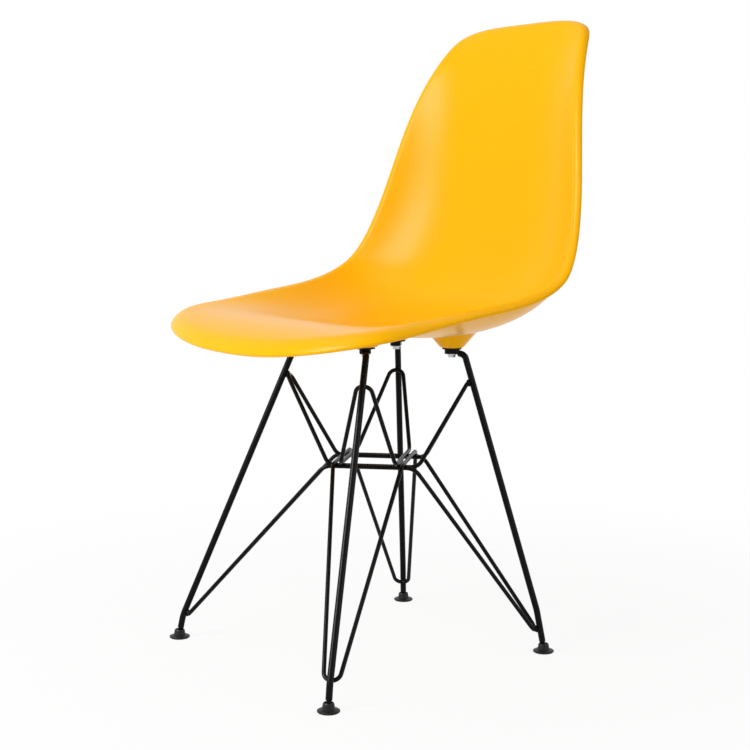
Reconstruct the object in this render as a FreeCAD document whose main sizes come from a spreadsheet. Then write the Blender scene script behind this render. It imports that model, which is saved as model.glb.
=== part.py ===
import FreeCAD, Part
import bisect
import math
import os
import Sketcher
from FreeCAD import Placement, Rotation, Vector

# A moulded shell chair on a welded rod and wire base, in millimetres.
# The sitter faces -Y, +Z is up and the floor is at Z = 0. Left is the sitter's left, which is +X.

doc = FreeCAD.newDocument("shell_chair")
sheet = doc.addObject("Spreadsheet::Sheet", "sizes")

# Places on the floor plan
plan = {
    "front_foot_x": 171.7,       # centre of a front glide
    "front_foot_y": -197.5,
    "rear_foot_x": 146.4,
    "rear_foot_y": 143.5,
    "front_bolt_x": 59.8,        # axis of a front mounting bolt
    "front_bolt_y": -69.0,
    "rear_bolt_x": 58.0,
    "rear_bolt_y": 63.9,
    "front_elbow_x": 75.9,       # where a leg's straight line meets its level end
    "front_elbow_y": -78.7,
    "rear_elbow_x": 69.2,
    "rear_elbow_y": 74.9,
    "crossing_y": -10.1,         # where the two diagonals of the wire base cross
}

# Leg rods: from the collar under the seat, round the elbow, down to the knee and the ball
legs = {
    "rod_radius": 4.0,
    "rod_below_boss": 7.8,       # centre of the level rod end, below the boss face
    "elbow_bend": 8.5,
    "front_knee_height": 29.8,
    "front_knee_inset": 4.9,     # knee to glide centre, on the floor plan
    "rear_knee_height": 53.1,
    "rear_knee_inset": 9.2,
    "knee_bend": 60.0,
}

# Swivel glides: a ball on the end of each leg, held in a moulded foot
glides = {
    "ball_height": 6.0,
    "ball_radius": 5.0,
    "neck_radius": 2.7,
    "neck_length": 6.2,          # ball centre to the rod's chamfer
    "rod_chamfer": 1.3,
    "ball_clearance": 0.05,
    "mouth_height": 9.0,         # top of the round socket
    "mouth_flare": 4.9,          # radius of the flared mouth at the hub's top
    "hub_radius": 5.7,           # at the top, inside its rounded shoulder
    "hub_height": 10.8,
    "shoulder_radius": 6.5,
    "shoulder_height": 9.7,
    "hub_root_radius": 7.4,
    "hub_root_height": 3.8,
    "brim_radius": 13.0,
    "brim_underside": 0.7,       # height of the brim's lower edge
    "brim_top": 1.9,
    "brim_crown_radius": 12.0,
    "brim_crown": 2.5,
    "sole_radius": 12.2,
}

# Four closed loops of thinner wire brace the legs
wires = {
    "wire_radius": 2.6,
    "weld_gap": 0.1,             # between wires, and between a wire and a rod
    "run_angle": 45.8,           # of each diagonal from the X axis, on the floor plan
    "run_height": 236.6,         # centre of the lower pair of level runs
    "upper_run_spread": 34.0,    # half the distance between a loop's two level runs
    "lower_run_spread": 42.5,
    "upper_run_front": 54.0,     # crossing to the bend at a run's front end
    "upper_run_rear": 57.5,
    "lower_run_front": 57.5,
    "lower_run_rear": 54.0,
    "upper_run_bend": 14.0,
    "lower_run_bend": 19.0,
    "hairpin_bend": 10.0,
    "upper_front_drop": 43.9,    # from a boss's face down to the upper hairpin on its leg
    "upper_rear_drop": 42.9,
    "crossing_lift": 2.4,        # how much higher these are on the diagonal that crosses above
    "lower_front_weld": 34.3,    # heights where the lower hairpins meet the legs
    "lower_rear_weld": 29.8,
}

# Mounts under the seat: boss, threaded insert, spacer, collar, washer, bolt
mounts = {
    "front_boss_drop": 11.1,     # from seat_height down to the bosses' lower faces
    "rear_boss_drop": 20.0,
    "boss_radius": 14.5,
    "boss_root_radius": 48.3,    # of the whole cone, which ends inside the seat
    "boss_height": 40.0,
    "boss_skin": 1.5,            # plastic left between a boss and the seat's upper face
    "spacer_radius": 12.0,
    "spacer_thickness": 2.3,
    "collar_radius": 9.0,        # of its round end, away from the rod
    "collar_width": 13.2,
    "collar_height": 5.7,
    "collar_flat": 8.2,          # bolt axis to the flat where the rod is welded
    "bolt_radius": 2.5,
    "bolt_clearance": 0.4,
    "bolt_reach": 8.0,           # how far the bolt goes into the boss
    "head_radius": 4.6,          # across the corners
    "head_height": 3.5,
    "washer_radius": 6.0,
    "washer_thickness": 1.0,
    "insert_radius": 4.6,
    "insert_length": 9.0,
    "thread_clearance": 0.05,
}

# The shell: stations along the middle line, from the front lip to the top of the back
stations = [
    # middle line: share of the depth, share of the back's height; then shares of the half
    # width and of the rise of the edge above the middle line
    (-0.5155, -0.0161, 0.9930, 0.035),
    (-0.4466, 0.0296, 1.0128, 0.033),
    (-0.2636, 0.0486, 1.0056, 0.244),
    (-0.1211, 0.0173, 1.0066, 0.714),
    (0.0146, 0.0000, 0.9985, 0.939),
    (0.2865, 0.0824, 0.9774, 1.014),
    (0.3946, 0.3235, 0.8941, 0.950),
    (0.4259, 0.6716, 0.7456, 0.626),
    (0.4824, 1.0000, 0.5367, -0.101),
]
shell = {
    "shell_depth": 460.0,
    "seat_height": 400.3,         # lowest part of the seat's upper side, at the middle
    "back_height": 388.1,         # from there to the top of the back
    "half_width": 225.0,
    "side_rise": 60.0,
    "shell_thickness": 5.0,
    "dish_power": 3.39,          # how late the sides rise: 2 is a plain bowl
    "front_corner": 115.8,       # length of the rounded front corners, along the middle line
    "front_squareness": 2.34,    # 2 is a plain ellipse
    "top_corner": 49.6,
    "top_squareness": 5.42,
    "front_lip_radius": 26.3,
    "rear_lip_radius": 9.0,
    "front_lip_turn": 54.0,      # how far the lip rolls over, in degrees
    "rear_lip_turn": 88.7,
    "lip_change_start": 0.2,     # shares of the middle line's length between which
    "lip_change_end": 0.5,       # the lip goes from its front to its rear form
    "field_start": 0.14,         # shares of the middle line's length that the inner field,
    "field_end": 0.86,           # from which the strips to the lip start, spans
    "field_front_width": 118.0,  # half widths of the inner field
    "field_top_width": 90.0,
}
for number, shares in enumerate(stations, 1):
    for measure_name, share in zip(("depth", "height", "width", "rise"), shares):
        shell[f"station{number}_{measure_name}"] = share

size = {**plan, **legs, **glides, **wires, **mounts, **shell}
for row, (name, value) in enumerate(size.items(), 1):
    sheet.set(f"A{row}", name)
    sheet.set(f"B{row}", str(value))
    sheet.setAlias(f"B{row}", name)
doc.recompute()

pieces = []
shortest_run = 0.001        # bends closer together than this have no straight between them
probe = 0.5                 # half the distance over which directions on the shell are taken


def bind(item, **links):
    """Ties an object's properties to cells of the sheet."""
    for prop, formula in links.items():
        item.setExpression(prop, formula)
    return item


def add(kind, name, place=None, **links):
    item = bind(doc.addObject(kind, name), **links)
    if place is not None:
        item.Placement = place
    return item


def join(name, shapes):
    fuse = doc.addObject("Part::MultiFuse", name)
    fuse.Shapes = shapes
    fuse.Refine = False
    return fuse


def cut(name, base, tool):
    piece = doc.addObject("Part::Cut", name)
    piece.Base = base
    piece.Tool = tool
    return piece


def keep(item, label, place=None):
    """Marks a finished piece, which is written to a file under its label."""
    item.Label = label
    if place is not None:
        item.Placement = place
    pieces.append(item)


def plane(body, role):
    return [part for part in body.Origin.OriginFeatures if part.Role == role][0]


def sketch_on(body, role, name):
    sketch = body.newObject("Sketcher::SketchObject", name)
    sketch.AttachmentSupport = (plane(body, role), "")
    sketch.MapMode = "FlatFace"
    return sketch


def draw_circle(sketch, radius_name, label):
    index = sketch.addGeometry(Part.Circle(Vector(0, 0, 0), Vector(0, 0, 1), size[radius_name]))
    sketch.addConstraint(Sketcher.Constraint("Coincident", index, 3, -1, 1))
    number = sketch.addConstraint(Sketcher.Constraint("Radius", index, size[radius_name]))
    sketch.renameConstraint(number, label)
    return f".Constraints.{label}"


# Corners of the floor plan: name, side of X, end of the chair
corners = [
    ("front_left", 1, "front"),
    ("front_right", -1, "front"),
    ("rear_left", 1, "rear"),
    ("rear_right", -1, "rear"),
]


def bolt_axis(side, end):
    return Vector(side * size[f"{end}_bolt_x"], size[f"{end}_bolt_y"], 0)


def foot_centre(side, end):
    return Vector(side * size[f"{end}_foot_x"], size[f"{end}_foot_y"], 0)


def elbow_spot(side, end):
    return Vector(side * size[f"{end}_elbow_x"], size[f"{end}_elbow_y"], 0)


def boss_face(end):
    """Height of a boss's lower face, on which everything below the seat hangs."""
    return size["seat_height"] - size[f"{end}_boss_drop"]


def collar_angle(side, end):
    """Direction on the floor plan from a bolt to the elbow of its leg."""
    way = elbow_spot(side, end) - bolt_axis(side, end)
    return math.degrees(math.atan2(way.y, way.x))


def upright(point, angle, height=0.0):
    return Placement(Vector(point.x, point.y, height), Rotation(Vector(0, 0, 1), angle))


def bent_bar(name, radius, points, bends, closed=False):
    """A round bar: straight lengths joined by tangent bends, one radius name for each corner."""
    count = len(points)
    lengths = [[point, point] for point in points]
    solids = []
    for i, bend in enumerate(bends):
        if bend is None:
            continue
        back = (points[i - 1] - points[i]).normalize()
        ahead = (points[(i + 1) % count] - points[i]).normalize()
        half = back.getAngle(ahead) / 2
        reach = size[bend] / math.tan(half)
        centre = points[i] + (back + ahead).normalize() * (size[bend] / math.sin(half))
        lengths[i] = [points[i] + back * reach, points[i] + ahead * reach]
        start = (lengths[i][0] - centre).normalize()
        turned = Rotation(start, -back, start.cross(-back), "ZXY")
        solids.append(add("Part::Torus", f"{name}_bend{i}", Placement(centre, turned),
                          Radius1=f"sizes.{bend}", Radius2=f"sizes.{radius}"))
        solids[-1].Angle3 = 180 - 2 * math.degrees(half)
    for i in range(count if closed else count - 1):
        start, stop = lengths[i][1], lengths[(i + 1) % count][0]
        if (stop - start).Length < shortest_run:
            continue
        along = Rotation(Vector(0, 0, 1), stop - start)
        solids.append(add("Part::Cylinder", f"{name}_run{i}", Placement(start, along),
                          Radius=f"sizes.{radius}"))
        solids[-1].Height = (stop - start).Length
    return solids


# Leg rods

def leg_line(side, end):
    """Corners of the leg's middle line, from the collar down to the ball's centre."""
    bolt, elbow, foot = bolt_axis(side, end), elbow_spot(side, end), foot_centre(side, end)
    top = Vector(0, 0, boss_face(end) - size["rod_below_boss"])
    outward = (foot - elbow).normalize()
    return [
        bolt + (elbow - bolt).normalize() * size["collar_flat"] + top,
        elbow + top,
        foot - outward * size[f"{end}_knee_inset"] + Vector(0, 0, size[f"{end}_knee_height"]),
        foot + Vector(0, 0, size["ball_height"]),
    ]


def leg_at(side, end, height):
    """A point on the leg's middle line at a given height, and the way down the leg there."""
    line = leg_line(side, end)
    above, below = (line[1], line[2]) if height > line[2].z else (line[2], line[3])
    share = (height - above.z) / (below.z - above.z)
    return above + (below - above) * share, (below - above).normalize()


def leg(name, side, end):
    line = leg_line(side, end)
    up = (line[2] - line[3]).normalize()
    rod_end = line[3] + up * (size["neck_length"] + size["rod_chamfer"])
    bar = bent_bar(f"leg_{name}", "rod_radius", line[:3] + [rod_end],
                   [None, "elbow_bend", "knee_bend", None])
    along = Rotation(Vector(0, 0, 1), up)
    neck = add("Part::Cylinder", f"neck_{name}", Placement(line[3], along),
               Radius="sizes.neck_radius", Height="sizes.neck_length")
    chamfer = add("Part::Cone", f"chamfer_{name}",
                  Placement(line[3] + up * size["neck_length"], along),
                  Radius1="sizes.neck_radius", Radius2="sizes.rod_radius",
                  Height="sizes.rod_chamfer")
    ball = add("Part::Sphere", f"ball_{name}", Placement(line[3], along),
               Radius="sizes.ball_radius")
    keep(join(f"leg_solid_{name}", bar + [chamfer, neck, ball]), f"leg_{name}")


# Wire loops: a hairpin at each leg, two sloping branches and two level runs at the middle

def diagonal(side):
    """Directions along and across the diagonal whose rear end is on the given side."""
    turn = math.radians(size["run_angle"])
    along = Vector(side * math.cos(turn), math.sin(turn), 0)
    return along, Vector(-along.y, along.x, 0)


def run_end(level, side, end, height):
    along, across = diagonal(side)
    reach = size[f"{level}_run_{end}"] * (1 if end == "rear" else -1)
    return Vector(0, size["crossing_y"], height) + along * reach


def weld_height(level, side, end):
    if level == "lower":
        return size[f"lower_{end}_weld"]
    lift = size["crossing_lift"] if side < 0 else 0
    return boss_face(end) - size[f"upper_{end}_drop"] + lift


def hairpin(level, side, end, height):
    """Two corners of a hairpin bend and the two ends of its branches, far side first."""
    along, across = diagonal(side)
    leg_side = side if end == "rear" else -side
    point, down = leg_at(leg_side, end, weld_height(level, side, end))
    target = run_end(level, side, end, height)
    inward = target - point
    inward = (inward - down * inward.dot(down)).normalize()
    apex = point + inward * (size["rod_radius"] + size["wire_radius"] + size["weld_gap"])
    ahead = (target - apex).normalize()
    sideways = (across - ahead * across.dot(ahead)).normalize()
    bend = size["hairpin_bend"]
    centre = apex + ahead * bend
    ends = []
    tips = []
    for way in (1, -1):
        tip = target + across * (way * size[f"{level}_run_spread"])
        span = tip - centre
        far, off = span.dot(ahead), way * span.dot(sideways)
        slope = math.atan2(off, far) - math.asin(bend / math.hypot(far, off))
        touch_far, touch_off = -bend * math.sin(slope), bend * math.cos(slope)
        corner_off = touch_off + math.tan(slope) * (-bend - touch_far)
        ends.append(apex + sideways * (way * corner_off))
        tips.append(tip)
    return ends, tips


def loop(label, level, side, height):
    rear_bends, rear_tips = hairpin(level, side, "rear", height)
    front_bends, front_tips = hairpin(level, side, "front", height)
    points = [rear_tips[0], rear_bends[0], rear_bends[1], rear_tips[1],
              front_tips[1], front_bends[1], front_bends[0], front_tips[0]]
    bends = [f"{level}_run_bend", "hairpin_bend", "hairpin_bend", f"{level}_run_bend"] * 2
    wire = bent_bar(label, "wire_radius", points, bends, closed=True)
    keep(join(f"{label}_solid", wire), label)


# Swivel glide: turned about the upright axis, with a round socket for the ball

def glide(name, side, end):
    body = doc.addObject("PartDesign::Body", f"glide_body_{name}")
    sketch = sketch_on(body, "XZ_Plane", f"glide_profile_{name}")
    socket = size["ball_radius"] + size["ball_clearance"]
    mouth = math.sqrt(socket ** 2 - (size["mouth_height"] - size["ball_height"]) ** 2)
    corners_of = [
        ("sole_middle", None, None),
        ("sole_edge", "sole_radius", None),
        ("brim_low", "brim_radius", "brim_underside"),
        ("brim_high", "brim_radius", "brim_top"),
        ("crown", "brim_crown_radius", "brim_crown"),
        ("root", "hub_root_radius", "hub_root_height"),
        ("shoulder", "shoulder_radius", "shoulder_height"),
        ("hub_rim", "hub_radius", "hub_height"),
        ("flare", "mouth_flare", "hub_height"),
        ("mouth", None, "mouth_height"),
    ]
    spots = []
    for spot, across, up in corners_of:
        x = size[across] if across else mouth if spot == "mouth" else 0.0
        spots.append(Vector(x, size[up] if up else 0.0, 0))
    bottom = Vector(0, size["ball_height"] - socket, 0)
    for i in range(len(spots) - 1):
        sketch.addGeometry(Part.LineSegment(spots[i], spots[i + 1]))
    last = len(spots) - 1
    centre = Vector(0, size["ball_height"], 0)
    side_point = Vector(socket, size["ball_height"], 0)
    arc = sketch.addGeometry(Part.Arc(bottom, side_point, spots[last]))
    axis_line = sketch.addGeometry(Part.LineSegment(bottom, spots[0]))
    for i in range(last - 1):
        sketch.addConstraint(Sketcher.Constraint("Coincident", i, 2, i + 1, 1))
    sketch.addConstraint(Sketcher.Constraint("Coincident", last - 1, 2, arc, 2))
    sketch.addConstraint(Sketcher.Constraint("Coincident", arc, 1, axis_line, 1))
    sketch.addConstraint(Sketcher.Constraint("Coincident", axis_line, 2, 0, 1))
    sketch.addConstraint(Sketcher.Constraint("Coincident", 0, 1, -1, 1))
    sketch.addConstraint(Sketcher.Constraint("Horizontal", 0))
    sketch.addConstraint(Sketcher.Constraint("PointOnObject", arc, 3, -2))
    sketch.addConstraint(Sketcher.Constraint("PointOnObject", arc, 1, -2))

    def measure(kind, geometry, vertex, value, name_of, formula):
        number = sketch.addConstraint(Sketcher.Constraint(kind, -1, 1, geometry, vertex, value))
        sketch.renameConstraint(number, name_of)
        sketch.setExpression(f".Constraints.{name_of}", formula)

    for i, (spot, across, up) in enumerate(corners_of):
        geometry, vertex = (i, 1) if i < last else (last - 1, 2)
        if across:
            measure("DistanceX", geometry, vertex, spots[i].x, f"{spot}_x", f"sizes.{across}")
        if up:
            measure("DistanceY", geometry, vertex, spots[i].y, f"{spot}_z", f"sizes.{up}")
    measure("DistanceY", arc, 3, centre.y, "ball_z", "sizes.ball_height")
    number = sketch.addConstraint(Sketcher.Constraint("Radius", arc, socket))
    sketch.renameConstraint(number, "socket")
    sketch.setExpression(".Constraints.socket", "sizes.ball_radius + sizes.ball_clearance")
    turned = body.newObject("PartDesign::Revolution", f"glide_turned_{name}")
    turned.Profile = sketch
    turned.ReferenceAxis = (sketch, ["V_Axis"])
    turned.Angle = 360
    body.Tip = turned
    keep(body, f"glide_{name}", upright(foot_centre(side, end), 0))


def ring(name, label, outer, inner_formula, inner_value, thickness, place):
    """A flat round piece with a round hole, such as a washer or a spacer."""
    body = doc.addObject("PartDesign::Body", f"{name}_body")
    sketch = sketch_on(body, "XY_Plane", f"{name}_sketch")
    rim = draw_circle(sketch, outer, "rim")
    sketch.setExpression(rim, f"sizes.{outer}")
    hole = sketch.addGeometry(Part.Circle(Vector(0, 0, 0), Vector(0, 0, 1), inner_value))
    sketch.addConstraint(Sketcher.Constraint("Coincident", hole, 3, -1, 1))
    number = sketch.addConstraint(Sketcher.Constraint("Radius", hole, inner_value))
    sketch.renameConstraint(number, "hole")
    sketch.setExpression(".Constraints.hole", inner_formula)
    pad = body.newObject("PartDesign::Pad", f"{name}_pad")
    pad.Profile = sketch
    pad.setExpression("Length", f"sizes.{thickness}")
    body.Tip = pad
    keep(body, label, place)


def mount(name, side, end):
    """Everything between the boss and the bolt's head, from the top down."""
    axis = bolt_axis(side, end)
    angle = collar_angle(side, end)
    face = boss_face(end)
    bolt_hole = size["bolt_radius"] + size["bolt_clearance"]
    bolt_hole_formula = "sizes.bolt_radius + sizes.bolt_clearance"
    ring(f"insert_{name}", f"threaded_insert_{name}", "insert_radius",
         "sizes.bolt_radius + sizes.thread_clearance",
         size["bolt_radius"] + size["thread_clearance"], "insert_length",
         upright(axis, 0, face))
    level = face - size["spacer_thickness"]
    ring(f"spacer_{name}", f"spacer_{name}", "spacer_radius", bolt_hole_formula, bolt_hole,
         "spacer_thickness", upright(axis, 0, level))

    level -= size["collar_height"]
    round_end = add("Part::Cylinder", f"collar_round_{name}",
                    Radius="sizes.collar_radius", Height="sizes.collar_height")
    bar = add("Part::Box", f"collar_bar_{name}",
              Length="sizes.collar_radius + sizes.collar_flat", Width="sizes.collar_width",
              Height="sizes.collar_height")
    bar.Placement = Placement(Vector(-size["collar_radius"], -size["collar_width"] / 2, 0),
                              Rotation())
    hole = add("Part::Cylinder", f"collar_hole_{name}",
               Radius=bolt_hole_formula, Height="sizes.collar_height")
    blank = add("Part::MultiCommon", f"collar_blank_{name}")
    blank.Shapes = [round_end, bar]
    collar = cut(f"collar_bored_{name}", blank, hole)
    keep(collar, f"collar_{name}", upright(axis, angle, level))

    level -= size["washer_thickness"]
    ring(f"washer_{name}", f"washer_{name}", "washer_radius", bolt_hole_formula, bolt_hole,
         "washer_thickness", upright(axis, 0, level))

    level -= size["head_height"]
    head = add("Part::Prism", f"bolt_head_{name}",
               Circumradius="sizes.head_radius", Height="sizes.head_height")
    head.Polygon = 6
    shank = add("Part::Cylinder", f"bolt_shank_{name}", Radius="sizes.bolt_radius",
                Height="sizes.head_height + sizes.washer_thickness + sizes.collar_height"
                       " + sizes.spacer_thickness + sizes.bolt_reach")
    keep(join(f"bolt_solid_{name}", [head, shank]), f"bolt_{name}", upright(axis, angle, level))


# The shell: a double-curved skin with a rolled lip

def station_curves():
    """Smooth curves through the stations, both by distance along the middle line."""
    count = len(stations)
    spots = [Vector(0, size["shell_depth"] * size[f"station{i}_depth"],
                    size["seat_height"] + size["back_height"] * size[f"station{i}_height"])
             for i in range(1, count + 1)]
    travel = [0.0]
    for before, after in zip(spots, spots[1:]):
        travel.append(travel[-1] + (after - before).Length)
    sections = [Vector(size["half_width"] * size[f"station{i}_width"],
                       size["side_rise"] * size[f"station{i}_rise"], 0)
                for i in range(1, count + 1)]
    spine, section = Part.BSplineCurve(), Part.BSplineCurve()
    spine.interpolate(Points=spots, Parameters=travel)
    section.interpolate(Points=sections, Parameters=travel)
    return spine, section, travel[-1]


spine, section, spine_length = station_curves()


def skin_point(x, travel):
    """A point of the sitter's side, from the offset across and the distance along."""
    middle = spine.value(travel)
    way = spine.tangent(travel)[0]
    half_width, rise, _ = section.value(travel)
    lift = rise * (abs(x) / half_width) ** size["dish_power"]
    return middle + Vector(x, -way.z * lift, way.y * lift)


def skin_normal(x, travel):
    across = skin_point(x + probe, travel) - skin_point(x - probe, travel)
    along = skin_point(x, travel + probe) - skin_point(x, travel - probe)
    return across.cross(along).normalize()


def smooth_step(value, low, high):
    share = min(max((value - low) / (high - low), 0.0), 1.0)
    return share * share * (3 - 2 * share)


def lip_form(travel):
    """The lip's radius there, and the angle by which it rolls over."""
    change = smooth_step(travel / spine_length, size["lip_change_start"], size["lip_change_end"])
    return [size[f"front_lip_{part}"] + change * (size[f"rear_lip_{part}"] - size[f"front_lip_{part}"])
            for part in ("radius", "turn")]


def corner_curve(angle, squareness):
    """A quarter of a rounded corner, from (0, 1) to (1, 0)."""
    power = 2 / squareness
    return abs(math.sin(angle)) ** power, abs(math.cos(angle)) ** power


def edge_path():
    """Half of the flattened skin's edge, from the front middle to the top middle: its spots,
    their distances along it, and the distances of the front and the top corner."""
    fine = 90
    quarter = [math.pi / 2 * i / fine for i in range(fine + 1)]
    low, high = size["front_corner"], spine_length - size["top_corner"]
    spots = []
    for angle in quarter:
        across, along = corner_curve(angle, size["front_squareness"])
        travel = low * (1 - along)
        spots.append((section.value(travel).x * across, travel))
    for i in range(1, fine):
        travel = low + (high - low) * i / fine
        spots.append((section.value(travel).x, travel))
    for angle in quarter[::-1]:
        across, along = corner_curve(angle, size["top_squareness"])
        travel = high + size["top_corner"] * along
        spots.append((section.value(travel).x * across, travel))
    distances = [0.0]
    for before, after in zip(spots, spots[1:]):
        distances.append(distances[-1] + math.dist(before, after))
    return spots, distances, distances[fine // 2], distances[-1 - fine // 2]


edge_spots, edge_distances, front_mark, top_mark = edge_path()
half_edge = edge_distances[-1]


def edge_spot(distance):
    """A spot on the whole edge. It starts at the front middle and runs up the left side."""
    distance %= 2 * half_edge
    side = 1 if distance <= half_edge else -1
    distance = min(distance, 2 * half_edge - distance)
    k = min(bisect.bisect_right(edge_distances, distance), len(edge_spots) - 1)
    share = (distance - edge_distances[k - 1]) / (edge_distances[k] - edge_distances[k - 1])
    (x0, travel0), (x1, travel1) = edge_spots[k - 1], edge_spots[k]
    return side * (x0 + (x1 - x0) * share), travel0 + (travel1 - travel0) * share


def bunched(count):
    """Shares from 0 to 1 that lie closer together near both ends, where the corners are."""
    return [(1 - math.cos(math.pi * i / count)) / 2 for i in range(count + 1)]


lip_turns = [0, 1 / 3, 2 / 3, 1]
rim_swings = [0, 50, 130, 180]        # the rounded rim in three flats, in degrees


def lip_section(distance):
    """The lip at one place of the edge: the spot of its crest, then the points and normals of
    its rolled upper side, then the points of its rounded rim."""
    x, travel = edge_spot(distance)
    (xa, travel_a), (xb, travel_b) = edge_spot(distance - probe), edge_spot(distance + probe)
    span = math.hypot(xb - xa, travel_b - travel_a)
    out_x, out_travel = (travel_b - travel_a) / span, -(xb - xa) / span
    radius, whole_turn = lip_form(travel)
    spot = (x - out_x * radius, travel - out_travel * radius)
    crest, normal = skin_point(*spot), skin_normal(*spot)
    outward = skin_point(spot[0] + out_x, spot[1] + out_travel) - crest
    outward = (outward - normal * outward.dot(normal)).normalize()
    points, normals = [], []
    for share in lip_turns:
        turn = math.radians(whole_turn) * share
        sine, cosine = math.sin(turn), math.cos(turn)
        points.append(crest + outward * (radius * sine) - normal * (radius * (1 - cosine)))
        normals.append(normal * cosine + outward * sine)
    forward = outward * cosine - normal * sine
    half_thick = size["shell_thickness"] / 2
    core = points[-1] - normals[-1] * half_thick
    rim = [core + (normals[-1] * math.cos(math.radians(swing))
                   + forward * math.sin(math.radians(swing))) * half_thick
           for swing in rim_swings]
    return spot, points, normals, rim


def through(points, shares):
    curve = Part.BSplineCurve()
    curve.interpolate(Points=points, Parameters=shares)
    return curve


def woven(net, down, along):
    """A smooth face through a net of points. Faces with the same edge points share the edge."""
    rows = [through(line, along) for line in net]
    columns = [through(line, down) for line in zip(*(row.getPoles() for row in rows))]
    surface = Part.BSplineSurface()
    surface.buildFromPolesMultsKnots(
        list(zip(*(column.getPoles() for column in columns))),
        columns[0].getMultiplicities(), rows[0].getMultiplicities(),
        columns[0].getKnots(), rows[0].getKnots(),
        False, False, columns[0].Degree, rows[0].Degree)
    return surface.toShape()


def both_sides(points, normals, down, along):
    """A face of the sitter's side and the same face on the underside."""
    thick = size["shell_thickness"]
    under = [[point - normal * thick for point, normal in zip(*lines)]
             for lines in zip(points, normals)]
    return [woven(points, down, along), woven(under, down, along)]


def inner_spot(across, along):
    """Spots of the inner field, which ends short of the edge all round."""
    half = size["field_front_width"] * (1 - along) + size["field_top_width"] * along
    travel = size["field_start"] * (1 - along) + size["field_end"] * along
    return (2 * across - 1) * half, travel * spine_length


def skin_faces(spots, down, along):
    return both_sides([[skin_point(*spot) for spot in line] for line in spots],
                      [[skin_normal(*spot) for spot in line] for line in spots], down, along)


def closed_skin():
    """The inner field, then on each of the four sides a strip out to the crest of the lip,
    the rolled lip and its rim, all on both faces of the shell."""
    across, along = bunched(10), bunched(16)
    faces = skin_faces([[inner_spot(u, v) for u in across] for v in along], along, across)
    sides = [
        (across, -front_mark, front_mark, lambda t: inner_spot(t, 0)),
        (along, front_mark, top_mark, lambda t: inner_spot(1, t)),
        (across, top_mark, 2 * half_edge - top_mark, lambda t: inner_spot(1 - t, 1)),
        (along, 2 * half_edge - top_mark, 2 * half_edge - front_mark,
         lambda t: inner_spot(0, 1 - t)),
    ]
    outward = [0, 1 / 3, 2 / 3, 1]
    for shares, start, stop, inner in sides:
        sections = [lip_section(start + (stop - start) * share) for share in shares]
        crests, points, normals, rims = zip(*sections)
        inside = [inner(share) for share in shares]
        spots = [[(x0 + (x1 - x0) * step, s0 + (s1 - s0) * step)
                  for (x0, s0), (x1, s1) in zip(inside, crests)] for step in outward]
        faces += skin_faces(spots, outward, shares)
        faces += both_sides(list(zip(*points)), list(zip(*normals)), lip_turns, shares)
        lines = [through(list(line), shares).toShape() for line in zip(*rims)]
        faces += [Part.makeRuledSurface(one, two) for one, two in zip(lines, lines[1:])]
    skin = Part.makeShell(faces)
    skin.sewShape()
    solid = Part.Solid(skin)
    if solid.Volume < 0:
        solid.reverse()
    return solid


def space_above_seat():
    """Fills the room above a face that lies a little below the seat's upper side."""
    reach_x = size["front_bolt_x"] + 2 * size["boss_root_radius"]
    start = size["front_corner"]
    stop = spine_length * 0.6
    steps = 10
    net = []
    for i in range(steps + 1):
        travel = start + (stop - start) * i / steps
        row = []
        for k in range(steps + 1):
            x = reach_x * (2 * k / steps - 1)
            row.append(skin_point(x, travel) - skin_normal(x, travel) * size["boss_skin"])
        net.append(row)
    surface = Part.BSplineSurface()
    surface.interpolate(net)
    return surface.toShape().extrude(Vector(0, 0, size["back_height"]))


def seat_shell():
    skin = doc.addObject("Part::Feature", "shell_skin")
    skin.Shape = closed_skin()
    room = doc.addObject("Part::Feature", "seat_room")
    room.Shape = space_above_seat()
    bosses = []
    holes = []
    for name, side, end in corners:
        place = upright(bolt_axis(side, end), 0, boss_face(end))
        cone = add("Part::Cone", f"boss_cone_{name}", place, Radius1="sizes.boss_radius",
                   Radius2="sizes.boss_root_radius", Height="sizes.boss_height")
        bosses.append(cut(f"boss_{name}", cone, room))
        holes.append(add("Part::Cylinder", f"insert_hole_{name}", place,
                         Radius="sizes.insert_radius", Height="sizes.insert_length"))
    whole = join("shell_with_bosses", [skin] + bosses)
    keep(cut("shell_bored", whole, join("insert_holes", holes)), "seat_shell")


for name, side, end in corners:
    leg(name, side, end)
    glide(name, side, end)
    mount(name, side, end)

low = size["run_height"]
high = low + 2 * size["wire_radius"] + size["weld_gap"]
loop("upper_loop_right_front", "upper", 1, low)
loop("lower_loop_right_front", "lower", 1, low)
loop("upper_loop_left_front", "upper", -1, high)
loop("lower_loop_left_front", "lower", -1, high)
seat_shell()

doc.recompute()
for item in doc.Objects:
    if "Invalid" in item.State or "Error" in item.State:
        raise RuntimeError(f"{item.Name} failed: {item.State}")
for piece in pieces:
    if piece.Shape.isNull() or not piece.Shape.isValid():
        raise RuntimeError(f"{piece.Label} has no valid shape")

os.makedirs("parts", exist_ok=True)
for piece in pieces:
    piece.Shape.exportStep(f"parts/{piece.Label}.step")
    box = piece.Shape.BoundBox
    print(f"{piece.Label}: {len(piece.Shape.Solids)} solid, {piece.Shape.Volume:.0f} mm3,"
          f" z {box.ZMin:.1f} to {box.ZMax:.1f}, y {box.YMin:.1f} to {box.YMax:.1f}")
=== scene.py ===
import math

import bpy
import numpy as np
from mathutils import Matrix, Vector
from mathutils.bvhtree import BVHTree


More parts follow.
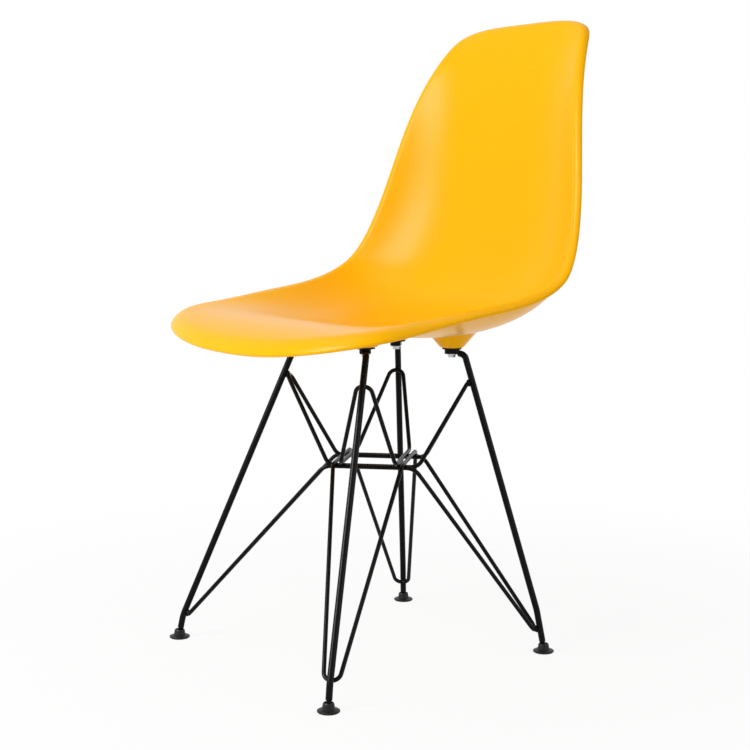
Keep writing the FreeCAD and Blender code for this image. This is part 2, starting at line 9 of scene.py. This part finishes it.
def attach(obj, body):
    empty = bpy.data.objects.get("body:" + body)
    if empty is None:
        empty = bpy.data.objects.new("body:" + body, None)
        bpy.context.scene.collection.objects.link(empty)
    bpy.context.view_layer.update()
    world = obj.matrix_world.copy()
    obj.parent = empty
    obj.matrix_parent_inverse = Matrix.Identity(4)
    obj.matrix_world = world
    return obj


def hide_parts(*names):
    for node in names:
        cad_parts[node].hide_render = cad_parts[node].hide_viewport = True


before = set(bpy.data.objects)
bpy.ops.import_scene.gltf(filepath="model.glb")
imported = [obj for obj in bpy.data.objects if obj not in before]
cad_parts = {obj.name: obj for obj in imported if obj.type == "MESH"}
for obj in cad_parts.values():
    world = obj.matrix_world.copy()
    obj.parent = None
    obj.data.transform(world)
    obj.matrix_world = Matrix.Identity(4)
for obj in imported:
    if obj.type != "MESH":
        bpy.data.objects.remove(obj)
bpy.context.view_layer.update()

mm = 0.001
corners = ["front_left", "front_right", "rear_left", "rear_right"]
opposite = {"left": "right", "right": "left"}
print("frame loaded:", len(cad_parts), "nodes")


# Finishes

class Value:
    # A socket that can stand in a sum, so that 1 - mask * 0.2 adds its Math nodes
    def __init__(self, graph, socket):
        self.graph, self.socket = graph, socket

    def math(self, operation, left, right):
        return self.graph.node("ShaderNodeMath", {"operation": operation}, {0: left, 1: right})

    def __add__(self, other):
        return self.math("ADD", self, other)

    def __sub__(self, other):
        return self.math("SUBTRACT", self, other)

    def __rsub__(self, other):
        return self.math("SUBTRACT", other, self)

    def __mul__(self, other):
        return self.math("MULTIPLY", self, other)

    __radd__ = __add__
    __rmul__ = __mul__


class Graph:
    # The nodes of a material or of the world, all added by one method
    def __init__(self, tree):
        self.tree = tree

    def node(self, kind, settings, sockets, output=0):
        made = self.tree.nodes.new(kind)
        for name, value in settings.items():
            setattr(made, name, value)
        for name, value in sockets.items():
            if isinstance(value, Value):
                self.tree.links.new(value.socket, made.inputs[name])
            else:
                made.inputs[name].default_value = value
        return Value(self, made.outputs[output])

    def whiteSeen(self):
        # 1 where the camera or a mirroring surface sees the pale surroundings, 0 as light
        return (self.node("ShaderNodeLightPath", {}, {}, "Is Camera Ray")
                + self.node("ShaderNodeLightPath", {}, {}, "Is Glossy Ray"))


class Finish(Graph):
    # A material, with the mixtures used below
    def __init__(self, name, **uniform):
        self.material = bpy.data.materials.new(name)
        self.material.use_nodes = True
        super().__init__(self.material.node_tree)
        self.shader = self.tree.nodes["Principled BSDF"]
        for socket, value in uniform.items():
            self.shader.inputs[socket.replace("_", " ")].default_value = value
        self.place = self.node("ShaderNodeTexCoord", {}, {}, "Object")

    def noise(self, grainSize, detail=3.0, roughness=0.5):
        # Grain size in metres; runs from 0 to 1 about 0.5
        return self.node("ShaderNodeTexNoise", {},
                         {"Vector": self.place, "Scale": 1 / grainSize, "Detail": detail,
                          "Roughness": roughness})

    def tint(self, factor, first, second):
        # Sockets 6 and 7 take the colours, and output 2 gives one
        return self.node("ShaderNodeMix", {"data_type": "RGBA"},
                         {"Factor": factor, 6: (*first, 1), 7: (*second, 1)}, 2)

    def relief(self, height, depth):
        return self.node("ShaderNodeBump", {},
                         {"Height": height, "Distance": depth, "Strength": 1.0})

    def feed(self, **varying):
        for socket, value in varying.items():
            self.tree.links.new(value.socket, self.shader.inputs[socket.replace("_", " ")])
        return self.material


plasticLook = {
    "colour": (0.98, 0.475, 0.0),      # golden yellow, as moulded
    "colourLow": (0.96, 0.455, 0.0),   # slight unevenness of the pigment
    "patchSize": 0.12,
    "ior": 1.49,
    "roughness": 0.3,
    "roughnessSpread": 0.04,
    "wearSize": 0.02,                  # of the spots in which the roughness varies
    "grainSize": 0.0007,               # spark-eroded mould texture
    "grainDepth": 0.000018,
    "specular": 0.08,                  # a satin skin that hardly mirrors the room
    "sheen": 0.4,                      # until it is seen at a low angle
    "sheenBlend": 0.5,
    "sheenRoughness": 0.3,
}


def mouldedPlastic():
    look = plasticLook
    finish = Finish("mouldedPlastic", IOR=look["ior"], Specular_IOR_Level=look["specular"],
                    Coat_Roughness=look["sheenRoughness"])
    facing = finish.node("ShaderNodeLayerWeight", {}, {"Blend": look["sheenBlend"]}, "Facing")
    patches = finish.noise(look["patchSize"], detail=2.0)
    grain = finish.noise(look["grainSize"], detail=2.0, roughness=0.6)
    wear = finish.noise(look["wearSize"], detail=4.0)
    return finish.feed(
        Base_Color=finish.tint(patches, look["colourLow"], look["colour"]),
        Roughness=look["roughness"] + (wear - 0.5) * look["roughnessSpread"],
        Coat_Weight=facing * facing * facing * look["sheen"],
        Normal=finish.relief(grain, look["grainDepth"]))


paintLook = {
    "colour": (0.0036, 0.0031, 0.0034),
    "shade": 0.8,         # how dark the darkest spots are
    "ior": 1.5,
    "specular": 0.09,
    "roughness": 0.24,
    "roughnessSpread": 0.08,
    "wearSize": 0.02,
    "peelSize": 0.0022,   # orange peel of powder coat
    "peelDepth": 0.00001,
}


def blackPaint():
    look = paintLook
    finish = Finish("blackPaint", IOR=look["ior"], Specular_IOR_Level=look["specular"])
    peel = finish.noise(look["peelSize"], detail=1.0)
    wear = finish.noise(look["wearSize"])
    low = tuple(level * look["shade"] for level in look["colour"])
    return finish.feed(
        Base_Color=finish.tint(wear, low, look["colour"]),
        Roughness=look["roughness"] + (wear - 0.5) * look["roughnessSpread"],
        Normal=finish.relief(peel, look["peelDepth"]))


nylonLook = {"colour": (0.0085, 0.0083, 0.0086), "roughness": 0.4, "specular": 0.2,
             "grainSize": 0.0006, "grainDepth": 0.00002}
rubberLook = {"colour": (0.006, 0.006, 0.0065), "roughness": 0.6, "specular": 0.15,
              "grainSize": 0.0009, "grainDepth": 0.00004}
blackLook = {"ior": 1.5, "cloudSize": 0.006, "dulled": 1.35, "roughnessSpread": 0.12}


def blackMoulding(name, look):
    finish = Finish(name, IOR=blackLook["ior"], Specular_IOR_Level=look["specular"])
    grain = finish.noise(look["grainSize"])
    cloud = finish.noise(blackLook["cloudSize"])
    dull = tuple(level * blackLook["dulled"] for level in look["colour"])
    return finish.feed(
        Base_Color=finish.tint(cloud, look["colour"], dull),
        Roughness=look["roughness"] + (cloud - 0.5) * blackLook["roughnessSpread"],
        Normal=finish.relief(grain, look["grainDepth"]))


zincLook = {"colour": (0.62, 0.62, 0.63), "shade": (0.42, 0.42, 0.43), "roughness": 0.26,
            "grainSize": 0.0008, "cloudSize": 0.0032}
brassLook = {"colour": (0.78, 0.56, 0.22), "shade": (0.58, 0.40, 0.15), "roughness": 0.32,
             "grainSize": 0.0009, "cloudSize": 0.0036}
metalLook = {"roughnessSpread": 0.2, "grainDepth": 0.00001}


def bareMetal(name, look):
    finish = Finish(name, Metallic=1.0)
    cloud = finish.noise(look["cloudSize"])
    grain = finish.noise(look["grainSize"], detail=4.0)
    return finish.feed(
        Base_Color=finish.tint(cloud, look["shade"], look["colour"]),
        Roughness=look["roughness"] + (grain - 0.5) * metalLook["roughnessSpread"],
        Normal=finish.relief(grain, metalLook["grainDepth"]))


plastic = mouldedPlastic()
paint = blackPaint()
nylon = blackMoulding("blackNylon", nylonLook)
rubber = blackMoulding("blackRubber", rubberLook)
zinc = bareMetal("zincPlate", zincLook)
brass = bareMetal("brass", brassLook)
cadFinishes = {"leg_": paint, "collar_": paint, "upper_": paint, "lower_": paint,
               "spacer_": rubber, "washer_": zinc, "bolt_": zinc, "threaded_": brass,
               "glide_": nylon, "seat_": plastic}
for name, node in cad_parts.items():
    node.data.materials.clear()
    node.data.materials.append(
        next(look for start, look in cadFinishes.items() if name.startswith(start)))
print("finishes done:", len(cadFinishes), "groups of nodes")


# The shell, in millimetres until the mesh is made

shell = {
    "depth": 460.0,
    "seatHeight": 400.3,        # lowest part of the seat's upper side, at the middle
    "backHeight": 388.1,        # from there to the top of the back
    "halfWidth": 225.0,
    "sideRise": 60.0,
    # From the front lip to the top, each as shares of depth, back height, half width, side rise
    "stations": [
        (-0.5155, -0.0161, 0.9930, 0.035),
        (-0.4466, 0.0296, 1.0128, 0.033),
        (-0.2636, 0.0486, 1.0056, 0.244),
        (-0.1211, 0.0173, 1.0066, 0.714),
        (0.0146, 0.0000, 0.9985, 0.939),
        (0.2865, 0.0824, 0.9774, 1.014),
        (0.3946, 0.3235, 0.8941, 0.950),
        (0.4259, 0.6716, 0.7456, 0.626),
        (0.4824, 1.0000, 0.5367, -0.101),
    ],
    "thickness": 5.0,
    "dishPower": 3.39,          # how late the sides rise: 2 is a plain bowl
    "frontCorner": 115.8,       # length of the rounded front corners, along the middle line
    "frontSquareness": 2.34,    # 2 is a plain ellipse
    "topCorner": 49.6,
    "topSquareness": 5.42,
    "frontLip": (26.3, 54.0),   # radius, and how many degrees the lip rolls over
    "rearLip": (9.0, 88.7),
    "lipChange": (0.2, 0.5),    # shares of the middle line between which the lip changes
    "hub": 0.42,                # share of the middle line at which the mesh's rings are centred
    "around": 480,              # mesh divisions
    "rings": 34,
    "lipRings": 10,
    "rimRings": 6,
    "edgeSteps": 400,           # in each part of the edge before it is divided evenly
}


def splineThrough(knots, values):
    # A cubic spline whose end slopes come from the cubic through the four points there
    knots, values = np.array(knots, float), np.array(values, float)
    count, gaps = len(knots), np.diff(knots)
    chords = np.diff(values, axis=0) / gaps[:, None]
    matrix, right = np.eye(count), np.zeros_like(values)
    for i in range(1, count - 1):
        matrix[i, i - 1:i + 2] = gaps[i], 2 * (gaps[i - 1] + gaps[i]), gaps[i - 1]
        right[i] = 3 * (gaps[i] * chords[i - 1] + gaps[i - 1] * chords[i])
    for end, four in ((0, slice(0, 4)), (-1, slice(-4, None))):
        away = knots[four] - knots[end]
        right[end] = [np.polyfit(away, column, 3)[2] for column in values[four].T]
    slopes = np.linalg.solve(matrix, right)

    def at(travel):
        travel = np.asarray(travel, float)
        k = np.clip(np.searchsorted(knots, travel, "right") - 1, 0, count - 2)
        gap = gaps[k]
        u = (travel - knots[k]) / gap
        gap, u = gap[..., None], u[..., None]
        p0, p1, m0, m1 = values[k], values[k + 1], slopes[k] * gap, slopes[k + 1] * gap
        value = ((2 * u**3 - 3 * u**2 + 1) * p0 + (u**3 - 2 * u**2 + u) * m0
                 + (3 * u**2 - 2 * u**3) * p1 + (u**3 - u**2) * m1)
        slope = ((6 * u**2 - 6 * u) * (p0 - p1) + (3 * u**2 - 4 * u + 1) * m0
                 + (3 * u**2 - 2 * u) * m1) / gap
        return value, slope

    return at


stations = np.array(shell["stations"]) * (shell["depth"], shell["backHeight"],
                                          shell["halfWidth"], shell["sideRise"])
stations[:, 1] += shell["seatHeight"]


def walk(points):
    # Distance of each point along the line through them all
    return np.concatenate([[0], np.cumsum(np.linalg.norm(np.diff(points, axis=0), axis=1))])


travels = walk(stations[:, :2])
spineLength = travels[-1]
spineAt = splineThrough(travels, stations[:, :2])
sectionAt = splineThrough(travels, stations[:, 2:])


def unit(vectors):
    return vectors / np.linalg.norm(vectors, axis=-1, keepdims=True)


def skinPoint(x, travel):
    # A point of the sitter's side, from the offset across and the distance along
    x, travel = np.broadcast_arrays(np.asarray(x, float), np.asarray(travel, float))
    (middle, slope), (section, _) = spineAt(travel), sectionAt(travel)
    way = unit(slope)
    lift = section[..., 1] * (np.abs(x) / section[..., 0]) ** shell["dishPower"]
    return np.stack([x, middle[..., 0] - way[..., 1] * lift,
                     middle[..., 1] + way[..., 0] * lift], -1)


def skinNormal(x, travel, step=0.5):
    across = skinPoint(x + step, travel) - skinPoint(x - step, travel)
    along = skinPoint(x, travel + step) - skinPoint(x, travel - step)
    return unit(np.cross(across, along))


def edgeOutline(count):
    # The edge of the flattened skin, evenly divided, with its outward direction
    steps = shell["edgeSteps"]
    quarter = np.linspace(0, np.pi / 2, steps)
    front, top = 2 / shell["frontSquareness"], 2 / shell["topSquareness"]
    travelFront = shell["frontCorner"] * (1 - np.cos(quarter) ** front)
    travelSide = np.linspace(shell["frontCorner"], spineLength - shell["topCorner"], steps)
    travelTop = spineLength - shell["topCorner"] * (1 - np.cos(quarter[::-1]) ** top)
    travel = np.concatenate([travelFront, travelSide[1:-1], travelTop])
    share = np.concatenate([np.sin(quarter) ** front, np.ones(steps - 2),
                            np.sin(quarter[::-1]) ** top])
    half = np.stack([sectionAt(travel)[0][:, 0] * share, travel], -1)
    whole = np.concatenate([half, half[-2:0:-1] * (-1, 1), half[:1]])
    walked = walk(whole)

    def spot(distance):
        distance = distance % walked[-1]
        return np.stack([np.interp(distance, walked, whole[:, i]) for i in (0, 1)], -1)

    distances = np.arange(count) * walked[-1] / count
    way = spot(distances + 1) - spot(distances - 1)
    outward = unit(np.stack([way[:, 1], -way[:, 0]], -1))
    return spot(distances), outward


def lipForm(travel):
    # Radius and turn of the lip at each place of the edge
    low, high = shell["lipChange"]
    share = np.clip((travel / spineLength - low) / (high - low), 0, 1)[:, None]
    front, rear = np.array(shell["frontLip"]), np.array(shell["rearLip"])
    return np.split(front + share**2 * (3 - 2 * share) * (rear - front), 2, 1)


def shellRings():
    spots, outward = edgeOutline(shell["around"])
    radius, wholeTurn = lipForm(spots[:, 1])
    crests = spots - outward * radius
    hub = np.array([0, shell["hub"] * spineLength])
    rings, normals = [], []
    for share in np.linspace(0, 1, shell["rings"] + 1)[1:]:
        x, travel = (hub + (crests - hub) * share).T
        rings.append(skinPoint(x, travel))
        normals.append(skinNormal(x, travel))
    crest, normal = rings[-1], normals[-1]
    out = skinPoint(*(crests + outward).T) - crest
    out = unit(out - normal * np.sum(out * normal, -1, keepdims=True))
    for share in np.linspace(0, 1, shell["lipRings"] + 1)[1:]:
        turn = np.radians(wholeTurn) * share
        rings.append(crest + out * radius * np.sin(turn) - normal * radius * (1 - np.cos(turn)))
        normals.append(normal * np.cos(turn) + out * np.sin(turn))
    under = [ring - way * shell["thickness"] for ring, way in zip(rings, normals)]
    forward = out * np.cos(turn) - normal * np.sin(turn)
    core = (rings[-1] + under[-1]) / 2
    swings = np.linspace(0, math.pi, shell["rimRings"] + 1)[1:-1]
    rim = [core + (normals[-1] * math.cos(swing) + forward * math.sin(swing))
           * shell["thickness"] / 2 for swing in swings]
    return rings + rim + under[::-1]


def meshPiece(name, points, faces, finish, body="chair", replaced=()):
    mesh = bpy.data.meshes.new(name)
    mesh.from_pydata([tuple(point) for point in points], [], faces)
    mesh.validate()
    for polygon in mesh.polygons:
        polygon.use_smooth = True
    mesh.materials.append(finish)
    piece = bpy.data.objects.new(name, mesh)
    bpy.context.scene.collection.objects.link(piece)
    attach(piece, body)
    if replaced:
        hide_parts(*replaced)
    return piece


def ringFaces(rings, around):
    # Quads between closed rings of points; the first and last points of all are the caps' middles
    faces = []
    for row in range(rings - 1):
        for i in range(around):
            j = (i + 1) % around
            a, b = 1 + row * around, 1 + (row + 1) * around
            faces.append((a + i, a + j, b + j, b + i))
    last = 1 + (rings - 1) * around
    faces += [(0, 1 + (i + 1) % around, 1 + i) for i in range(around)]
    faces += [(last + around, last + i, last + (i + 1) % around) for i in range(around)]
    return faces


boss = {
    "frontFace": 389.2,    # heights of the lower faces
    "rearFace": 380.3,
    "radius": 14.5,
    "slope": 0.846,        # how fast it widens upwards
    "edge": 0.8,           # rounding at the face
    "fillet": 3.0,         # where it runs into the shell
    "filletSpread": 1.2,   # how far it runs out there, in fillets
    "filletSink": 0.15,    # how far its end lies inside the shell's skin
    "root": 1.5,           # height of the hidden ring that closes it inside the shell
    "front": (59.8, -69.0),
    "rear": (58.0, 63.9),
    "highest": 40.0,       # above its face, past the shell's lower face for certain
    "cap": 12.0,           # height above the face of the point where it closes
    "around": 72,
    "edgeTurns": (30, 60),
    "sideRings": 8,
    "firstSideRing": 0.08,
    "filletRings": 5,
    "halvings": 30,        # in the search for the height where it meets the shell
    "undersideTries": 4,
    "seatTravel": 400.0,   # part of the middle line that lies above the bosses
    "seatSteps": 200,
}


def underside(x, y):
    # Height of the shell's lower face above a place on the floor plan
    seat = np.linspace(0, boss["seatTravel"], boss["seatSteps"])
    travel = np.interp(y, spineAt(seat)[0][:, 0], seat)
    for _ in range(boss["undersideTries"]):
        point, normal = skinPoint(x, travel), skinNormal(x, travel)
        below = point - normal * shell["thickness"]
        travel = travel + (y - below[..., 1])
    return below[..., 2]


def bossRings(centre, face):
    angle = np.linspace(0, 2 * np.pi, boss["around"], endpoint=False)
    way = np.stack([np.cos(angle), np.sin(angle)], -1)

    def at(height):
        reach = boss["radius"] + boss["slope"] * height
        return np.array(centre) + way * reach[:, None]

    low, high = np.zeros(len(angle)), np.full(len(angle), boss["highest"])
    for _ in range(boss["halvings"]):
        middle = (low + high) / 2
        spot = at(middle)
        inside = face + middle < underside(spot[:, 0], spot[:, 1])
        low, high = np.where(inside, middle, low), np.where(inside, high, middle)
    meet = low

    def ring(reach, height):
        spot = np.array(centre) + way * np.asarray(reach).reshape(-1, 1)
        return np.column_stack([spot, np.broadcast_to(height, len(angle))])

    edge = boss["edge"]
    rings = [ring(np.full(len(angle), boss["radius"] - edge), face)]
    for turn in np.radians(boss["edgeTurns"]):
        rings.append(ring(np.full(len(angle), boss["radius"] - edge + edge * math.sin(turn)),
                          face + edge * (1 - math.cos(turn))))
    for share in np.linspace(boss["firstSideRing"], 1, boss["sideRings"]):
        height = (meet - boss["fillet"]) * share
        rings.append(ring(boss["radius"] + boss["slope"] * height, face + height))
    startReach = boss["radius"] + boss["slope"] * (meet - boss["fillet"])
    meetReach = boss["radius"] + boss["slope"] * meet
    endReach = meetReach + boss["fillet"] * boss["filletSpread"]
    spot = np.array(centre) + way * endReach[:, None]
    endHeight = underside(spot[:, 0], spot[:, 1]) + boss["filletSink"]
    for u in np.linspace(0, 1, boss["filletRings"] + 1)[1:]:
        reach = (1 - u) ** 2 * startReach + 2 * u * (1 - u) * meetReach + u**2 * endReach
        height = ((1 - u) ** 2 * (face + meet - boss["fillet"])
                  + 2 * u * (1 - u) * (face + meet) + u**2 * endHeight)
        rings.append(ring(reach, height))
    rings.append(ring(endReach, endHeight + boss["root"]))
    return rings


def buildShell():
    rings = shellRings()
    around = shell["around"]
    hub = shell["hub"] * spineLength
    middle = skinPoint(0.0, hub)
    below = middle - skinNormal(0.0, hub) * shell["thickness"]
    points = np.concatenate([[middle], *rings, [below]]) * mm
    faces = ringFaces(len(rings), around)
    for end, side in (("front", 1), ("front", -1), ("rear", 1), ("rear", -1)):
        centre, face = (side * boss[end][0], boss[end][1]), boss[f"{end}Face"]
        cone = bossRings(centre, face)
        start = len(points)
        bottom, top = [[*centre, face]], [[*centre, face + boss["cap"]]]
        points = np.concatenate([points, np.concatenate([bottom, *cone, top]) * mm])
        faces += [tuple(start + i for i in reversed(corners))
                  for corners in ringFaces(len(cone), boss["around"])]
    return meshPiece("seatShell", points, faces, plastic, replaced=["seat_shell"])


buildShell()
print("shell done")


# Welds: a bead where each hairpin meets its leg, and one round each rod's end at its collar

welds = {
    "across": 3.3,      # half sizes of a hairpin's bead: across the leg, along it, outwards
    "along": 4.6,
    "outwards": 2.7,
    "lift": 0.9,        # from the leg's face to the middle of the bead
    "endRadius": 3.9,   # of the bead round a rod's end
    "endBead": 1.3,
    "ripple": 0.05,     # how uneven the beads are, in the numbers of waves below
    "wavesAround": 3,
    "wavesAlong": 7,
    "endWaves": 5,
    "touch": 0.4,       # what counts as touching
    "around": 24,
    "rings": 12,
}


def worldPoints(node):
    return [node.matrix_world @ vertex.co for vertex in node.data.vertices]


def surface(node):
    return BVHTree.FromPolygons(worldPoints(node), [face.vertices for face in node.data.polygons])


def frameAlong(axis):
    # Two directions square to the given one, the first of them level
    level = axis.cross(Vector((0, 0, 1))).normalized()
    return level, level.cross(axis).normalized()


def hairpinBead(level, corner):
    # Points and faces of an ellipsoid between the leg and the bend of its loop
    end, side = corner.split("_")
    front = side if end == "front" else opposite[side]
    leg = surface(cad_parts[f"leg_{corner}"])
    wire = worldPoints(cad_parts[f"{level}_loop_{front}_front"])
    found = min((leg.find_nearest(place) for place in wire), key=lambda near: near[3])
    touch, outwards = found[0], found[1]
    across, along = frameAlong(outwards)
    centre = touch + outwards * welds["lift"] * mm
    rows, count = welds["rings"], welds["around"]
    points = [centre + along * welds["along"] * mm]
    for tilt in np.linspace(0, math.pi, rows + 2)[1:-1]:
        for turn in np.linspace(0, 2 * math.pi, count, endpoint=False):
            wave = math.sin(welds["wavesAround"] * turn + welds["wavesAlong"] * tilt)
            reach = math.sin(tilt) * (1 + welds["ripple"] * wave)
            points.append(centre + (across * welds["across"] * reach * math.cos(turn)
                                    + outwards * welds["outwards"] * reach * math.sin(turn)
                                    + along * welds["along"] * math.cos(tilt)) * mm)
    points.append(centre - along * welds["along"] * mm)
    return points, ringFaces(rows, count)


def collarBead(corner):
    # A ring of weld round the end of the rod, where it stands against its collar
    collar = surface(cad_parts[f"collar_{corner}"])
    places = worldPoints(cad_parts[f"leg_{corner}"])
    touching = [place for place in places if collar.find_nearest(place)[3] < welds["touch"] * mm]
    middle = sum(touching, Vector()) / len(touching)
    axis = -collar.find_nearest(middle)[1]
    across, along = frameAlong(axis)
    count, rows = welds["around"], welds["rings"]
    points = []
    for turn in np.linspace(0, 2 * math.pi, count, endpoint=False):
        way = across * math.cos(turn) + along * math.sin(turn)
        bead = welds["endBead"] * (1 + welds["ripple"] * math.sin(welds["endWaves"] * turn))
        for tilt in np.linspace(0, 2 * math.pi, rows, endpoint=False):
            points.append(middle + (way * (welds["endRadius"] + bead * math.cos(tilt))
                                    + axis * bead * math.sin(tilt)) * mm)
    faces = [(i * rows + j, (i + 1) % count * rows + j,
              (i + 1) % count * rows + (j + 1) % rows, i * rows + (j + 1) % rows)
             for i in range(count) for j in range(rows)]
    return points, faces


def layWelds():
    points, faces = [], []
    beads = [hairpinBead(level, corner) for level in ("upper", "lower") for corner in corners]
    for places, sides in beads + [collarBead(corner) for corner in corners]:
        faces += [tuple(len(points) + i for i in side) for side in sides]
        points += places
    return meshPiece("welds", points, faces, paint)


layWelds()
print("welds done")


# Camera, lights and floor

camera = {
    "place": (1.523, -1.1058, 0.5823),
    "azimuth": 54.2988,
    "down": 7.2112,
    "roll": 0.08,
    "sensor": 36,
    "focalShare": 1522.7 / 750,   # focal length over the width of the sensor
}
studio = {
    "skyLevel": 0.36,            # of the world as light; where it shows it is white
    "floorShare": (0.9, 1.0),    # of the floor's white that glows, under the chair and far off
    "floorReach": (0.25, 1.1),   # metres from the middle between which that grows
    "floorLevel": 0.9,           # its colour, where it takes light and shadow
    "floorRoughness": 0.9,
    "floorSpecular": 0.1,
    "floorHalf": 12.0,
    "floorGap": 0.0002,          # between the floor and the soles
    "lamps": {
        # Place, size and power
        "overhead": ((-0.6, -0.9, 2.6), (1.4, 1.0), 9.0),
        "front": ((-0.12, -2.2, 1.5), (1.15, 1.8), 44.0),
        "right": ((2.4, 0.9, 1.2), (1.0, 1.8), 13.0),
        "glint": ((-0.3, -2.3, 1.6), (1.1, 1.5), 80.0),
    },
    "mirroredOnly": ["glint"],   # lamps that add a highlight and no light
    "aim": (0.0, 0.0, 0.45),
}


def placeCamera():
    data = bpy.data.cameras.new("camera")
    data.sensor_width = camera["sensor"]
    data.lens = camera["focalShare"] * camera["sensor"]
    item = bpy.data.objects.new("camera", data)
    bpy.context.scene.collection.objects.link(item)
    turn, down = math.radians(camera["azimuth"]), math.radians(camera["down"])
    ahead = Vector((-math.sin(turn) * math.cos(down), math.cos(turn) * math.cos(down),
                    -math.sin(down)))
    right = Vector((math.cos(turn), math.sin(turn), 0))
    up = right.cross(ahead)
    item.matrix_world = (Matrix.Translation(camera["place"])
                         @ Matrix((right, up, -ahead)).transposed().to_4x4()
                         @ Matrix.Rotation(math.radians(camera["roll"]), 4, "Z"))
    bpy.context.scene.camera = item


def placeLamps():
    for name, (place, (wide, tall), power) in studio["lamps"].items():
        data = bpy.data.lights.new(name, "AREA")
        data.shape, data.size, data.size_y, data.energy = "RECTANGLE", wide, tall, power
        lamp = bpy.data.objects.new(name, data)
        lamp.location = place
        aim = Vector(studio["aim"]) - Vector(place)
        lamp.rotation_euler = aim.to_track_quat("-Z", "Y").to_euler()
        lamp.visible_diffuse = name not in studio["mirroredOnly"]
        bpy.context.scene.collection.objects.link(lamp)


def setSky():
    world = bpy.data.worlds.new("studio")
    bpy.context.scene.world = world
    world.use_nodes = True
    sky = Graph(world.node_tree)
    level = sky.whiteSeen() * (1 - studio["skyLevel"]) + studio["skyLevel"]
    background = sky.tree.nodes["Background"]
    background.inputs["Color"].default_value = (1, 1, 1, 1)
    sky.tree.links.new(level.socket, background.inputs["Strength"])


def layFloor():
    white = studio["floorLevel"]
    finish = Finish("paleFloor", Base_Color=(white, white, white, 1),
                    Roughness=studio["floorRoughness"], Specular_IOR_Level=studio["floorSpecular"])
    away = finish.node("ShaderNodeVectorMath", {"operation": "LENGTH"}, {0: finish.place}, 1)
    (near, far), (least, most) = studio["floorReach"], studio["floorShare"]
    own = finish.node("ShaderNodeMapRange", {"interpolation_type": "SMOOTHSTEP"},
                      {"Value": away, "From Min": near, "From Max": far, "To Min": least,
                       "To Max": most})
    glow = finish.node("ShaderNodeEmission", {}, {"Strength": 1.0})
    lit = Value(finish, finish.shader.outputs[0])
    whole = finish.node("ShaderNodeMixShader", {}, {0: own * finish.whiteSeen(), 1: lit, 2: glow})
    finish.tree.links.new(whole.socket, finish.tree.nodes["Material Output"].inputs["Surface"])
    half = studio["floorHalf"]
    mesh = bpy.data.meshes.new("floor")
    mesh.from_pydata([(-half, -half, 0), (half, -half, 0), (half, half, 0), (-half, half, 0)],
                     [], [(0, 1, 2, 3)])
    mesh.materials.append(finish.material)
    floor = bpy.data.objects.new("floor", mesh)
    floor.location.z = -studio["floorGap"]
    bpy.context.scene.collection.objects.link(floor)


placeCamera()
placeLamps()
setSky()
layFloor()
bpy.context.scene.view_settings.view_transform = "Standard"
print("camera, lamps and floor done")
